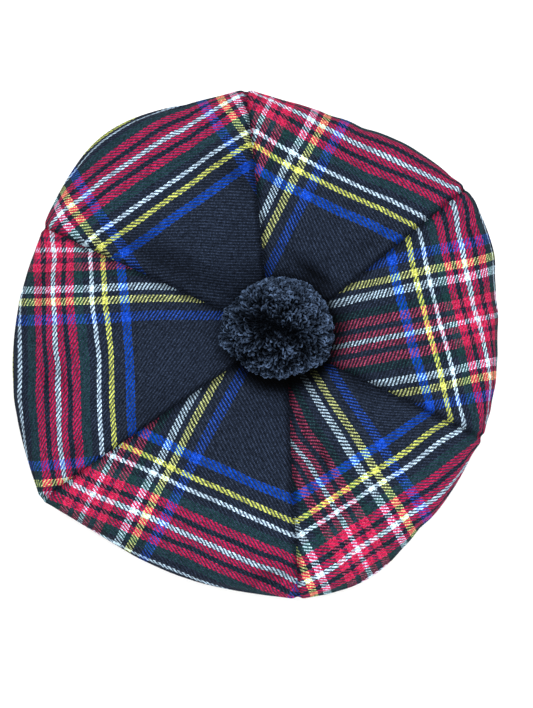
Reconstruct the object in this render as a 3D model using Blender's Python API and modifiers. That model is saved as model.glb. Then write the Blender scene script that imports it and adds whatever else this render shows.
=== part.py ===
"""A tam o' shanter: six cloth gores sewn into a round, flat crown over a headband, with a yarn toorie on top.

Units are metres and +Z is up. The headband stands on the floor at z = 0, and the origin is under the
middle of the hat's outline. Seen from above, +X is right and +Y is up the picture. The gores meet at
the crown's middle, which lies to one side of the outline's, because the soft cloth has slid on the band.
Each gore is cut from one crown wall, with a narrow gap along its seams.
"""

import math
from collections import namedtuple

import bmesh
import bpy
from mathutils import Matrix, Vector

MM = 0.001

# Outline. A row is a gore, counter-clockwise from the right. Its first seam ends at a corner of the
# outline, at this angle and distance from the crown's middle. The outline swells past the straight
# line to the next corner by the three bulges, a quarter, a half and three quarters of the way along.
# Puff is how far the middle of the gore stands above the common section.
Gore = namedtuple("Gore", "name seam_deg seam_mm bulge_quarter bulge_half bulge_three_quarter puff")
GORES = (
    Gore("gore_1", 37.5, 136.2, 7.3, 7.8, 4.5, 1.5),
    Gore("gore_2", 96.6, 138.9, 13.4, 23.5, 18.5, 3.0),
    Gore("gore_3", 155.1, 143.8, 11.8, 16.2, 11.8, 2.0),
    Gore("gore_4", 215.1, 160.8, 6.7, 11.8, 9.0, 1.5),
    Gore("gore_5", 275.0, 149.0, 16.8, 16.8, 10.6, 2.0),
    Gore("gore_6", 333.8, 130.5, 9.5, 12.9, 12.3, 3.0),
)

# Section of the crown, from its middle over the rim and back under to the band. On the top, reach is
# the share of the way from the crown's middle to the rim; underneath, of the way from the band to it.
# The headband's wall is under the last two knots, and the cloth rests on its edge.
Knot = namedtuple("Knot", "place side reach height")
SECTION = (
    Knot("tie hole", "top", 0.02, 45.0),
    Knot("dish", "top", 0.12, 45.2),
    Knot("shoulder", "top", 0.30, 50.0),
    Knot("crest", "top", 0.50, 53.5),
    Knot("slope", "top", 0.70, 49.5),
    Knot("brow", "top", 0.86, 40.5),
    Knot("upper rim", "top", 0.965, 30.5),
    Knot("rim", "top", 1.00, 21.0),
    Knot("lower rim", "under", 0.93, 11.5),
    Knot("droop", "under", 0.70, 9.5),
    Knot("rise", "under", 0.42, 14.5),
    Knot("gather", "under", 0.20, 24.0),
    Knot("over the band", "under", 0.09, 28.3),
    Knot("band edge", "under", 0.00, 28.3),
)
RIM_KNOT = 7

# Folds of the top, each a straight run out from the crown's middle, from one share of the way to the
# rim to another: soft dents where depth is above 0, ridges where it is below.
Fold = namedtuple("Fold", "place angle_deg reach_in reach_out depth width")
FOLDS = (
    Fold("pucker right of the lower seam", 285.0, 0.28, 0.74, 3.0, 8.0),
    Fold("ridge beside it", 294.0, 0.36, 0.92, -2.0, 9.0),
    Fold("pucker left of the lower seam", 271.5, 0.74, 0.99, 2.6, 8.0),
    Fold("tuck at the right corner", 29.0, 0.76, 1.04, 3.2, 8.0),
    Fold("notch in the right seam", 37.5, 0.72, 0.95, 2.2, 9.0),
    Fold("tuck at the left corner", 160.5, 0.80, 1.06, 3.2, 8.0),
    Fold("bend of the lower left seam", 214.0, 0.84, 1.06, 2.4, 9.0),
    Fold("hollow right of the toorie", 46.0, 0.15, 0.50, 2.4, 11.0),
    Fold("hollow left of the toorie", 148.0, 0.15, 0.45, 2.2, 11.0),
)

CLOTH = 2.0 * MM
SEAM_GAP = 0.3 * MM
SEAM_DEPTH = 3.4 * MM
SEAM_WIDTH = 7.0 * MM
SEAM_EASE = 30.0 * MM  # the seams reach their full depth this far from the crown's middle
SEAM_LIFT = 0.5  # the seams draw the rim and the underside up by this share of their depth
RIM_POWER = 30  # how suddenly the creases of the top end at the rim
COLUMNS = 10  # faces across a gore
ROWS_A_KNOT = 2  # faces from one knot of the section to the next
SEAM_CROWDING = 0.08  # draws a gore's columns towards its seams
WEDGE_REACH = 300.0 * MM
WEDGE_HEIGHT = 80.0 * MM

BAND_RADIUS = 92.0 * MM  # outside; a 57 cm head
BAND_WALL = 3.0 * MM
BAND_HEIGHT = 28.0 * MM
BAND_EDGE = 0.6 * MM
BAND_SIDES = 40

TOORIE_RADIUS = 29.5 * MM
TOORIE_SQUASH = 0.76  # its height, as a share of its width
TOORIE_SHIFT = (2.6 * MM, 3.4 * MM)  # it leans off the crown's middle
TOORIE_SINK = 3.0 * MM  # how much of the ball is pressed flat where it sits on the cloth
TOORIE_GAP = 0.1 * MM
TIE_RADIUS = 1.8 * MM
TIE_LENGTH = 5.0 * MM
LOCKS = 92
LOCK_RADIUS = 3.9 * MM
LOCK_DROP = 5.5 * MM  # from the locks' tips down to the core between them
YARN_CELL = 3.0 * MM  # size of the fused yarn's faces

# The toorie's masses, swollen out from a round ball, and the partings between them, which run from
# its top down to one side. Lift is the angle above the floor.
Lobe = namedtuple("Lobe", "azimuth_deg lift_deg swell spread_deg")
LOBES = (
    Lobe(95.0, 15.0, -0.04, 60.0),
    Lobe(187.0, 0.0, 0.15, 26.0),
    Lobe(250.0, 0.0, -0.04, 28.0),
    Lobe(290.0, 0.0, -0.08, 26.0),
    Lobe(338.0, 0.0, 0.07, 28.0),
)
Parting = namedtuple("Parting", "azimuth_deg depth width_deg end_deg")
PARTINGS = (
    Parting(166.0, 0.34, 13.0, 66.0),
    Parting(340.0, 0.30, 13.0, 60.0),
    Parting(268.0, 0.16, 11.0, 70.0),
)

COLOURS = {
    "tartan": (0.030, 0.038, 0.055),
    "band": (0.022, 0.028, 0.040),
    "yarn": (0.016, 0.024, 0.038),
}


def clear_scene():
    for obj in list(bpy.data.objects):
        bpy.data.objects.remove(obj)


def collection(name, shown=True):
    made = bpy.data.collections.new(name)
    made.hide_render = not shown
    bpy.context.scene.collection.children.link(made)
    return made


def material(name, colour):
    made = bpy.data.materials.new(name)
    made.use_nodes = True
    shader = made.node_tree.nodes["Principled BSDF"]
    shader.inputs["Base Color"].default_value = (*colour, 1.0)
    shader.inputs["Roughness"].default_value = 0.9
    shader.inputs["Metallic"].default_value = 0.0
    return made


def add(bm, name, into, finish=None):
    """An object for the shape; one with no finish is a helper, drawn as wire and left out of renders."""
    mesh = bpy.data.meshes.new(name)
    bm.to_mesh(mesh)
    bm.free()
    obj = bpy.data.objects.new(name, mesh)
    into.objects.link(obj)
    if finish is None:
        obj.hide_render = True
        obj.display_type = "WIRE"
    else:
        mesh.materials.append(finish)
        mesh.shade_smooth()
    return obj


def combine(obj, operation, other):
    """Joins the object with another, or keeps what they share."""
    boolean = obj.modifiers.new(operation.lower(), "BOOLEAN")
    boolean.operation = operation
    boolean.object = other


def polar(angle_deg, distance):
    angle = math.radians(angle_deg)
    return Vector((distance * math.cos(angle), distance * math.sin(angle)))


def bulge(gore, t):
    """Swell of a gore's edge past its chord: three half-waves that pass through the gore's three bulges."""
    quarter, half, last = gore.bulge_quarter, gore.bulge_half, gore.bulge_three_quarter
    ends = (quarter + last) / math.sqrt(2.0)
    first, second, third = (ends + half) / 2, (quarter - last) / 2, (ends - half) / 2
    waves = first * math.sin(math.pi * t)
    waves += second * math.sin(2 * math.pi * t)
    waves += third * math.sin(3 * math.pi * t)
    return waves * MM


def gore_at(turn):
    """The gore at a turn, the next one, and the share of the way across it; turn counts gores."""
    index = math.floor(turn)
    return GORES[index % len(GORES)], GORES[(index + 1) % len(GORES)], turn - index


def outline(turn):
    """Point of the outline, from the crown's middle."""
    gore, following, t = gore_at(turn)
    start = polar(gore.seam_deg, gore.seam_mm * MM)
    chord = polar(following.seam_deg, following.seam_mm * MM) - start
    outward = Vector((chord.y, -chord.x)).normalized()
    return start + chord * t + outward * bulge(gore, t)


def column_turn(column):
    """Turn of a column of the crown's grid; columns crowd towards the seams."""
    gore, within = divmod(column, COLUMNS)
    t = within / COLUMNS
    return gore + t - SEAM_CROWDING * math.sin(2 * math.pi * t)


def outline_middle():
    """Middle of the outline's bounding box, from the crown's middle."""
    points = [outline(column_turn(column)) for column in range(len(GORES) * COLUMNS)]
    xs, ys = [p.x for p in points], [p.y for p in points]
    return Vector(((min(xs) + max(xs)) / 2, (min(ys) + max(ys)) / 2))


def section(along):
    """Side, reach and height at a share of the section's length: a Catmull-Rom curve through its knots."""
    last = len(SECTION) - 1
    k = min(math.floor(along * last), last - 1)
    t = along * last - k
    knots = [SECTION[min(max(k + step, 0), last)] for step in (-1, 0, 1, 2)]
    weights = (
        (-t + 2 * t**2 - t**3) / 2,
        (2 - 5 * t**2 + 3 * t**3) / 2,
        (t + 4 * t**2 - 3 * t**3) / 2,
        (-(t**2) + t**3) / 2,
    )
    # Past the rim a reach of the other side counts as mirrored, so the curve turns smoothly there.
    side = "top" if k < RIM_KNOT else "under"
    reaches = [knot.reach if knot.side == side else 2.0 - knot.reach for knot in knots]
    reach = sum(w * r for w, r in zip(weights, reaches))
    height = sum(w * knot.height for w, knot in zip(weights, knots))
    return side, reach, height * MM


def seam_dip(turn, distance):
    """How far the cloth sinks at a point of the top, as its seams draw it down into creases."""
    gore, following, t = gore_at(turn)
    span = math.radians((following.seam_deg - gore.seam_deg) % 360.0)
    across = min(t, 1.0 - t) * span * distance
    return SEAM_DEPTH * min(1.0, distance / SEAM_EASE) * math.exp(-across / SEAM_WIDTH)


def puff(turn, reach):
    """How far the middle of a gore stands proud: half a wave across it, and one wave out to the rim."""
    gore, _, t = gore_at(turn)
    return gore.puff * MM * math.sin(math.pi * t) * math.sin(math.pi * min(reach, 1.0)) ** 2


def rim_turn(reach):
    """From 0 on the top to 1 at the rim, where what lowers the top stops: a high power of the reach."""
    return min(reach, 1.0) ** RIM_POWER


def fold_dip(flat, reach):
    """Sum of the folds at a point: a bell across each run, fading to nothing at its two ends and the rim."""
    dip = 0.0
    for fold in FOLDS:
        way = polar(fold.angle_deg, 1.0)
        across = flat.cross(way) / (fold.width * MM)
        middle, half = (fold.reach_in + fold.reach_out) / 2, (fold.reach_out - fold.reach_in) / 2
        fade = max(0.0, 1.0 - ((reach - middle) / half) ** 2)
        if flat.dot(way) > 0:
            dip += fold.depth * MM * fade * math.exp(-(across**2))
    return dip * (1.0 - rim_turn(reach))


def crown_point(turn, along):
    """Point of the crown's outer surface, from the outline's middle on the floor."""
    side, reach, height = section(along)
    rim = outline(turn)
    if side == "top":
        flat = rim * reach
        height += puff(turn, reach) - fold_dip(flat, reach)
        height -= seam_dip(turn, flat.length) * (1.0 - (1.0 + SEAM_LIFT) * rim_turn(reach))
        flat -= CROWN_SHIFT
    else:
        rim -= CROWN_SHIFT
        flat = (rim.normalized() * (BAND_RADIUS - BAND_WALL)).lerp(rim, reach)
        height += seam_dip(turn, flat.length) * SEAM_LIFT * reach
    return Vector((flat.x, flat.y, height))


CROWN_SHIFT = outline_middle()


def crown_wall(helpers):
    """The whole crown: a grid bent round the hat, closed on itself and thickened inwards."""
    columns = len(GORES) * COLUMNS
    rows = ROWS_A_KNOT * (len(SECTION) - 1)
    bm = bmesh.new()
    bmesh.ops.create_grid(bm, x_segments=columns, y_segments=rows, size=0.5)
    for vert in bm.verts:
        column = round((vert.co.x + 0.5) * columns)
        row = round((vert.co.y + 0.5) * rows)
        vert.co = crown_point(column_turn(column), row / rows)
    bmesh.ops.remove_doubles(bm, verts=bm.verts, dist=0.01 * MM)
    bmesh.ops.recalc_face_normals(bm, faces=bm.faces)
    wall = add(bm, "crown_wall", helpers)
    cloth = wall.modifiers.new("cloth", "SOLIDIFY")
    cloth.thickness = CLOTH
    cloth.offset = -1.0
    return wall


def wedge(index, helpers):
    """The space of one gore: a slice from the crown's middle, half a seam gap inside each seam's plane."""
    first, second = GORES[index], GORES[(index + 1) % len(GORES)]
    half = (second.seam_deg - first.seam_deg) % 360.0 / 2
    tip = polar(first.seam_deg + half, SEAM_GAP / 2 / math.sin(math.radians(half)))
    corners = (tip, tip + polar(first.seam_deg, WEDGE_REACH), tip + polar(second.seam_deg, WEDGE_REACH))
    bm = bmesh.new()
    bottom = [bm.verts.new((*(corner - CROWN_SHIFT), 0.0)) for corner in corners]
    grown = bmesh.ops.extrude_face_region(bm, geom=[bm.faces.new(bottom)])["geom"]
    top = [item for item in grown if isinstance(item, bmesh.types.BMVert)]
    bmesh.ops.translate(bm, verts=top, vec=(0.0, 0.0, WEDGE_HEIGHT))
    bmesh.ops.recalc_face_normals(bm, faces=bm.faces)
    return add(bm, f"wedge_{index + 1}", helpers)


def gores(hat, helpers, finish):
    """The six gores, each the part of the crown's wall that lies in its wedge."""
    wall = crown_wall(helpers)
    bpy.context.view_layer.update()
    graph = bpy.context.evaluated_depsgraph_get()
    for index, gore in enumerate(GORES):
        mesh = bpy.data.meshes.new_from_object(wall.evaluated_get(graph), depsgraph=graph)
        mesh.materials.append(finish)
        mesh.shade_smooth()
        obj = bpy.data.objects.new(gore.name, mesh)
        hat.objects.link(obj)
        combine(obj, "INTERSECT", wedge(index, helpers))


def headband(hat, finish):
    """A turned ring with eased edges that stands on the floor."""
    outer, inner = BAND_RADIUS, BAND_RADIUS - BAND_WALL
    top, ease = BAND_HEIGHT, BAND_EDGE
    profile = (
        (outer - ease, top),
        (outer, top - ease),
        (outer, ease),
        (outer - ease, 0.0),
        (inner + ease, 0.0),
        (inner, ease),
        (inner, top - ease),
        (inner + ease, top),
    )
    bm = bmesh.new()
    verts = [bm.verts.new((x, 0.0, z)) for x, z in profile]
    for a, b in zip(verts, verts[1:] + verts[:1]):
        bm.edges.new((a, b))
    band = add(bm, "headband", hat, finish)
    turn = band.modifiers.new("turn", "SCREW")
    turn.steps = turn.render_steps = BAND_SIDES
    turn.use_merge_vertices = True
    turn.merge_threshold = 0.01 * MM


def yarn_reach(direction):
    """Share of the toorie's radius that the yarn reaches in a direction: a ball with lobes and partings."""
    reach = 1.0
    for lobe in LOBES:
        lift = math.radians(lobe.lift_deg)
        aim = Vector((*polar(lobe.azimuth_deg, math.cos(lift)), math.sin(lift)))
        reach += lobe.swell * math.exp(-((direction.angle(aim) / math.radians(lobe.spread_deg)) ** 2))
    slant = direction.angle(Vector((0.0, 0.0, 1.0)))
    for parting in PARTINGS:
        way = Vector((*polar(parting.azimuth_deg, 1.0), 0.0))
        across = math.asin(abs(direction.cross(way).z)) if direction.dot(way) > 0 else slant
        fade = max(0.0, 1.0 - (slant / math.radians(parting.end_deg)) ** 2)
        reach -= parting.depth * fade * math.exp(-((across / math.radians(parting.width_deg)) ** 2))
    return reach


def lock_directions():
    """Directions spread evenly over a ball by the golden angle."""
    golden = math.pi * (3.0 - math.sqrt(5.0))
    for i in range(LOCKS):
        z = 1.0 - 2.0 * (i + 0.5) / LOCKS
        ring = math.sqrt(1.0 - z * z)
        yield Vector((ring * math.cos(i * golden), ring * math.sin(i * golden), z))


def add_lock(bm, direction):
    """A tapered lock with a round tip, from inside the core out to the yarn's surface."""
    tip = TOORIE_RADIUS * yarn_reach(direction) - LOCK_RADIUS
    end = Matrix.Translation(direction * tip)
    shaft = Matrix.Translation(direction * (tip - LOCK_DROP)) @ direction.to_track_quat().to_matrix().to_4x4()
    bmesh.ops.create_icosphere(bm, subdivisions=2, radius=LOCK_RADIUS, matrix=end)
    bmesh.ops.create_cone(
        bm,
        cap_ends=True,
        segments=8,
        radius1=LOCK_RADIUS / 2,
        radius2=LOCK_RADIUS,
        depth=2 * LOCK_DROP,
        matrix=shaft,
    )


def toorie(hat, helpers, finish):
    """A ball of yarn: locks on a core, fused by a voxel remesh, over the tie that goes through the crown."""
    seat = SECTION[1].height * MM
    lowest = TOORIE_SINK - TOORIE_RADIUS * TOORIE_SQUASH
    bm = bmesh.new()
    bmesh.ops.create_icosphere(bm, subdivisions=3, radius=1.0)
    for vert in bm.verts:
        vert.co *= TOORIE_RADIUS * yarn_reach(vert.co.normalized()) - LOCK_DROP
    for direction in lock_directions():
        add_lock(bm, direction)
    bmesh.ops.scale(bm, verts=bm.verts, vec=(1.0, 1.0, TOORIE_SQUASH))
    for vert in bm.verts:
        vert.co.z = max(vert.co.z, lowest)
    place = Vector((*TOORIE_SHIFT, seat + TOORIE_GAP - lowest)) - CROWN_SHIFT.to_3d()
    bmesh.ops.translate(bm, verts=bm.verts, vec=place)
    ball = add(bm, "toorie", hat, finish)
    fuse = ball.modifiers.new("fuse", "REMESH")
    fuse.mode = "VOXEL"
    fuse.voxel_size = YARN_CELL
    fuse.use_smooth_shade = True

    bm = bmesh.new()
    middle = Matrix.Translation((-CROWN_SHIFT.x, -CROWN_SHIFT.y, seat))
    bmesh.ops.create_cone(
        bm,
        cap_ends=True,
        segments=8,
        radius1=TIE_RADIUS,
        radius2=TIE_RADIUS,
        depth=2 * TIE_LENGTH,
        matrix=middle,
    )
    combine(ball, "UNION", add(bm, "tie", helpers))


def main():
    clear_scene()
    hat = collection("tam_o_shanter")
    helpers = collection("cutters", shown=False)
    finishes = {name: material(name, colour) for name, colour in COLOURS.items()}
    gores(hat, helpers, finishes["tartan"])
    headband(hat, finishes["band"])
    toorie(hat, helpers, finishes["yarn"])


main()
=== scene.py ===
"""The looks of a tam o' shanter: six gores of twill tartan, a headband and a yarn toorie.

The crown's outline, section and folds are worked out by the same formulas as the solids, in metres, on a
finer grid. Only the cloth has shifted seams, creases and ripples, and each gore its own cut of the tartan.
"""

import math
from collections import namedtuple
from functools import partial

import bpy
import numpy as np
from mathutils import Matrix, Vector


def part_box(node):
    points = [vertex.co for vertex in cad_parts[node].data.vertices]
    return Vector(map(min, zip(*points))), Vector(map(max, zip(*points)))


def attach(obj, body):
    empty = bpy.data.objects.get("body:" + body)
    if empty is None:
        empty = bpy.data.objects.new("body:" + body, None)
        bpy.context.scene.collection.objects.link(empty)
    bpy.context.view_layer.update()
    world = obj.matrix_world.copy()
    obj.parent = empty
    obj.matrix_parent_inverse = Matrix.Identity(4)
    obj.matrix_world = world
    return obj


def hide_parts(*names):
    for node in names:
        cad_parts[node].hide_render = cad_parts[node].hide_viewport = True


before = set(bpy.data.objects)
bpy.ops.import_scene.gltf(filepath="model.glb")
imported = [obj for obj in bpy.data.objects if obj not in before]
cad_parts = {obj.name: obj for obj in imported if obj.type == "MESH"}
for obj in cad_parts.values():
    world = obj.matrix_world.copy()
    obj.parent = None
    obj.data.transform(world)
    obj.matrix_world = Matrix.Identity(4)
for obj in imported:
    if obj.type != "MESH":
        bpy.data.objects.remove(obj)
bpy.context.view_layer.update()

MM = 0.001

# ---------------- the crown's shape

# A row is a gore, counter-clockwise from the right. Its first seam ends at a corner of the outline, at
# this angle and distance in mm from the crown's middle. The outline swells past the straight line to
# the next corner by the three bulges, a quarter, a half and three quarters of the way along. Puff is
# how far the middle of the gore stands above the common section. Seam shift, which the solids leave out,
# is how far the straight seam passes beside the crown's middle, counter-clockwise.
Gore = namedtuple(
    "Gore", "name seam_deg seam_mm bulge_quarter bulge_half bulge_three_quarter puff seam_shift"
)
GORES = (
    Gore("gore_1", 37.5, 136.2, 7.3, 7.8, 4.5, 1.5, -4.3),
    Gore("gore_2", 96.6, 138.9, 13.4, 23.5, 18.5, 3.0, 1.9),
    Gore("gore_3", 155.1, 143.8, 11.8, 16.2, 11.8, 2.0, 0.0),
    Gore("gore_4", 215.1, 160.8, 6.7, 11.8, 9.0, 1.5, 1.0),
    Gore("gore_5", 275.0, 149.0, 16.8, 16.8, 10.6, 2.0, 6.4),
    Gore("gore_6", 333.8, 130.5, 9.5, 12.9, 12.3, 3.0, -1.2),
)

# Section of the crown, from its middle over the rim and back under to the band. On the top, reach is
# the share of the way from the crown's middle to the rim; underneath, of the way from the band to it.
Knot = namedtuple("Knot", "place side reach height")
SECTION = (
    Knot("tie hole", "top", 0.02, 45.0),
    Knot("dish", "top", 0.12, 45.2),
    Knot("shoulder", "top", 0.30, 50.0),
    Knot("crest", "top", 0.50, 53.5),
    Knot("slope", "top", 0.70, 49.5),
    Knot("brow", "top", 0.86, 40.5),
    Knot("upper rim", "top", 0.965, 30.5),
    Knot("rim", "top", 1.00, 21.0),
    Knot("lower rim", "under", 0.93, 11.5),
    Knot("droop", "under", 0.70, 9.5),
    Knot("rise", "under", 0.42, 14.5),
    Knot("gather", "under", 0.20, 24.0),
    Knot("over the band", "under", 0.09, 28.3),
    Knot("band edge", "under", 0.00, 28.3),
)
RIM_KNOT = 7

# Folds, each a straight run out from the crown's middle, from one share of the way to the rim to
# another: dents where depth is above 0, ridges where it is below.
Fold = namedtuple("Fold", "place angle_deg reach_in reach_out depth width")
FOLDS = (
    Fold("pucker right of the lower seam", 285.0, 0.28, 0.74, 3.0, 8.0),
    Fold("ridge beside it", 294.0, 0.36, 0.92, -2.0, 9.0),
    Fold("pucker left of the lower seam", 271.5, 0.74, 0.99, 2.6, 8.0),
    Fold("tuck at the right corner", 29.0, 0.76, 1.04, 3.2, 8.0),
    Fold("notch in the right seam", 37.5, 0.72, 0.95, 2.2, 9.0),
    Fold("tuck at the left corner", 160.5, 0.80, 1.06, 3.2, 8.0),
    Fold("bend of the lower left seam", 214.0, 0.84, 1.06, 2.4, 9.0),
    Fold("hollow right of the toorie", 46.0, 0.15, 0.50, 2.4, 11.0),
    Fold("hollow left of the toorie", 148.0, 0.15, 0.45, 2.2, 11.0),
)

# Sharper creases that only the cloth shows, each on one gore by its number, in mm from the crown's middle:
# dents where depth is above 0. Shade is the painted shade that darkens the cloth there, from 0 to 1.
Crease = namedtuple("Crease", "place gore x y way_deg length width depth shade")
CREASES = (
    Crease("hollow above the toorie", 1, 22.5, 32.5, -38.0, 16.0, 4.0, 2.4, 0.85),
    Crease("slack above the right seam", 1, 53.0, 50.0, 39.0, 14.0, 6.0, 0.9, 0.25),
    Crease("dip right of the top seam", 1, 0.0, 84.0, 98.0, 14.0, 4.0, 0.6, 0.25),
    Crease("hollow above the left seam", 2, -59.0, 40.0, -26.0, 32.0, 9.5, 2.4, 0.55),
    Crease("dip left of the top seam", 2, -20.0, 89.0, -32.0, 14.0, 6.5, 0.7, 0.4),
    Crease("slack in the upper gore", 2, -20.0, 62.0, 70.0, 16.0, 4.5, 1.0, 0.1),
    Crease("crease in the left gore", 3, -118.0, -23.0, -64.0, 9.0, 2.8, 1.3, 0.45),
    Crease("crease nearer its rim", 3, -128.0, -24.0, -68.0, 9.0, 2.4, 1.2, 0.35),
    Crease("crease high in the left gore", 3, -134.0, -2.0, -75.0, 7.0, 2.4, 0.9, 0.2),
    Crease("dip at the left corner", 3, -131.0, 26.0, 80.0, 9.0, 5.0, 0.8, 0.3),
    Crease("slack above the lower left seam", 3, -67.0, -40.0, 41.0, 22.0, 5.0, 0.8, 0.25),
    Crease("hollow left of the toorie", 3, -28.0, -9.0, 100.0, 7.0, 4.0, 0.6, 0.4),
    Crease("dip above the lower left corner", 3, -112.0, -66.0, 36.0, 9.0, 6.0, 0.8, 0.35),
    Crease("swell below the lower left seam", 4, -77.0, -56.0, 37.0, 17.0, 5.0, -0.9, 0.0),
    Crease("dip at the foot of the lower seam", 4, -3.0, -134.0, 10.0, 13.0, 6.0, 0.8, 0.5),
    Crease("long pucker right of the lower seam", 5, 26.5, -68.0, -72.0, 12.0, 2.0, 1.8, 0.5),
    Crease("short pucker above it", 5, 13.5, -50.0, -62.0, 7.0, 1.8, 1.2, 0.15),
    Crease("ridge between them", 5, 19.5, -50.0, -64.0, 14.0, 3.6, -1.3, 0.0),
    Crease("pucker at the foot of the lower seam", 5, 6.5, -134.0, -50.0, 8.0, 2.4, 1.3, 0.45),
    Crease("dip below the lower right seam", 5, 50.0, -28.5, -26.0, 16.0, 4.0, 0.8, 0.35),
    Crease("dip above the lower right seam", 6, 76.0, -31.0, -26.0, 12.0, 5.0, 0.6, 0.3),
    Crease("hollow right of the toorie", 6, 38.0, 6.0, 86.0, 15.0, 4.5, 0.8, 0.5),
    Crease("slack right of the toorie", 6, 62.0, 34.0, 20.0, 14.0, 4.0, 1.2, 0.0),
    Crease("crease at the right corner", 6, 109.0, 58.0, -72.0, 7.0, 2.0, 1.2, 0.25),
)

SEAM_DEPTH = 3.4 * MM
SEAM_WIDTH = 7.0 * MM
SEAM_EASE = 30.0 * MM  # the seams reach their full depth this far from the crown's middle
SEAM_LIFT = 0.5  # the seams draw the rim and the underside up by this share of their depth
RIM_POWER = 30  # how suddenly the creases of the top end at the rim
TIE_REACH = 0.12  # share of the way out to the rim in which the seam shift fades in
CAD_COLUMNS = 10
SEAM_CROWDING = 0.08  # draws a gore's columns towards its seams
BAND_RADIUS = 92.0 * MM
BAND_WALL = 3.0 * MM

# Finer than the solids: the cloth's own thickness, its turn into each seam, and small waves.
CLOTH = 1.7 * MM
SEAM_LAP = 0.0003  # of a gore's width, by which it passes its seam
SEAM_BLEND = 3.0 * MM
ROLL_DEPTH = 1.7 * MM
ROLL_WIDTH = 1.9 * MM
PUCKER_DEPTH = 0.45 * MM
PUCKER_WIDTH = 9.0 * MM
PUCKER_PITCHES = (7.5 * MM, 12.0 * MM, 19.0 * MM)
PUCKER_STEP = 2.4  # radians by which the gathers move on from one seam to the next
RIPPLES = 220
RIPPLE_REACH = 140.0 * MM
RIPPLE_INNER = 0.06  # share of that round area, in its middle, that has no ripples
RIPPLE_LENGTHS = (12.0, 26.0)  # least and most in mm, like the widths and depths
RIPPLE_WIDTHS = (3.5, 7.0)
RIPPLE_DEPTHS = (0.3, 0.9)
RIPPLE_EASE = 6.0 * MM
RIPPLE_SEED = 3
CREASE_EASE = 2.5 * MM
# Painted shade of the cloth: a painted shadow under and round the toorie, painted shade in each seam, and how
# far full painted shade darkens the colour.
PAINTED_SHADOW_SHIFT = np.array([1.6, -2.8]) * MM  # the painted shadow round the toorie reaches further below and right of it
PAINTED_SHADOW_RADIUS = 33.0 * MM
PAINTED_SHADOW_EDGE = 1.3 * MM
SEAM_PAINTED_SHADE = 0.5
PAINTED_SHADE_STRENGTH = 0.98
WANDER = 0.13  # mm that each slow wave shifts the stripes
WANDER_WAVES = 10
WANDER_LENGTHS = (32.0, 90.0)
FINE_COLUMNS = 84
FINE_ROWS = 170
FINE_CROWDING = 0.135


def polar(angle_deg, distance):
    angle = math.radians(angle_deg)
    return np.array([distance * math.cos(angle), distance * math.sin(angle)])


def bulge(gore, t):
    """Swell of a gore's edge past its chord: three half-waves that pass through the gore's three bulges."""
    quarter, half, last = gore.bulge_quarter, gore.bulge_half, gore.bulge_three_quarter
    ends = (quarter + last) / math.sqrt(2.0)
    first, second, third = (ends + half) / 2, (quarter - last) / 2, (ends - half) / 2
    waves = first * np.sin(np.pi * t) + second * np.sin(2 * np.pi * t) + third * np.sin(3 * np.pi * t)
    return waves * MM


def outline(index, t):
    """Points of one gore's rim, from the crown's middle: its chord, pushed out by the bulge."""
    gore, following = GORES[index], GORES[(index + 1) % len(GORES)]
    start = polar(gore.seam_deg, gore.seam_mm * MM)
    chord = polar(following.seam_deg, following.seam_mm * MM) - start
    outward = np.array([chord[1], -chord[0]]) / np.hypot(*chord)
    return start + t[:, None] * chord + bulge(gore, t)[:, None] * outward


def crowded(count, crowding):
    """Shares across a gore, drawn towards its seams: t less a whole sine wave."""
    t = np.arange(count + 1) / count
    return t - crowding * np.sin(2 * np.pi * t)


def outline_middle():
    """Middle of the outline's bounding box, from the crown's middle."""
    t = crowded(CAD_COLUMNS, SEAM_CROWDING)
    points = np.concatenate([outline(index, t) for index in range(len(GORES))])
    return (points.min(axis=0) + points.max(axis=0)) / 2


CROWN_SHIFT = outline_middle()


def section(along):
    """Reach, height and whether it is the top, along the section: a Catmull-Rom curve through its knots.

    Past the rim a reach of the other side counts as mirrored (2 less the reach), so the curve turns
    smoothly there.
    """
    last = len(SECTION) - 1
    k = np.minimum(np.floor(along * last).astype(int), last - 1)
    t = along * last - k
    weights = np.stack([
        (-t + 2 * t**2 - t**3) / 2,
        (2 - 5 * t**2 + 3 * t**3) / 2,
        (t + 4 * t**2 - 3 * t**3) / 2,
        (-(t**2) + t**3) / 2,
    ])
    near = np.clip(k + np.array([[-1], [0], [1], [2]]), 0, last)
    reaches = np.array([knot.reach for knot in SECTION])[near]
    heights = np.array([knot.height for knot in SECTION])[near]
    knot_on_top = np.array([knot.side == "top" for knot in SECTION])[near]
    on_top = k < RIM_KNOT
    reaches = np.where(knot_on_top == on_top, reaches, 2.0 - reaches)
    return (weights * reaches).sum(axis=0), (weights * heights).sum(axis=0) * MM, on_top


def seam_span(index):
    return math.radians((GORES[(index + 1) % len(GORES)].seam_deg - GORES[index].seam_deg) % 360.0)


def seam_distance(index, t, distance):
    """Arc from a point to the nearer seam, from its share across the gore and its distance out."""
    return np.minimum(t, 1.0 - t) * seam_span(index) * distance


def seam_dip(index, t, distance):
    """How far the cloth sinks towards its seams: an exponential crease that fades in from the middle."""
    across = seam_distance(index, t, distance)
    return SEAM_DEPTH * np.minimum(1.0, distance / SEAM_EASE) * np.exp(-across / SEAM_WIDTH)


def puff(index, t, reach):
    """How far the middle of a gore stands proud: half a wave across it, and one wave out to the rim."""
    return GORES[index].puff * MM * np.sin(np.pi * t) * np.sin(np.pi * np.minimum(reach, 1.0)) ** 2


def rim_turn(reach):
    """From 0 on the top to 1 at the rim, where what lowers the top stops: a high power of the reach."""
    return np.minimum(reach, 1.0) ** RIM_POWER


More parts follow.
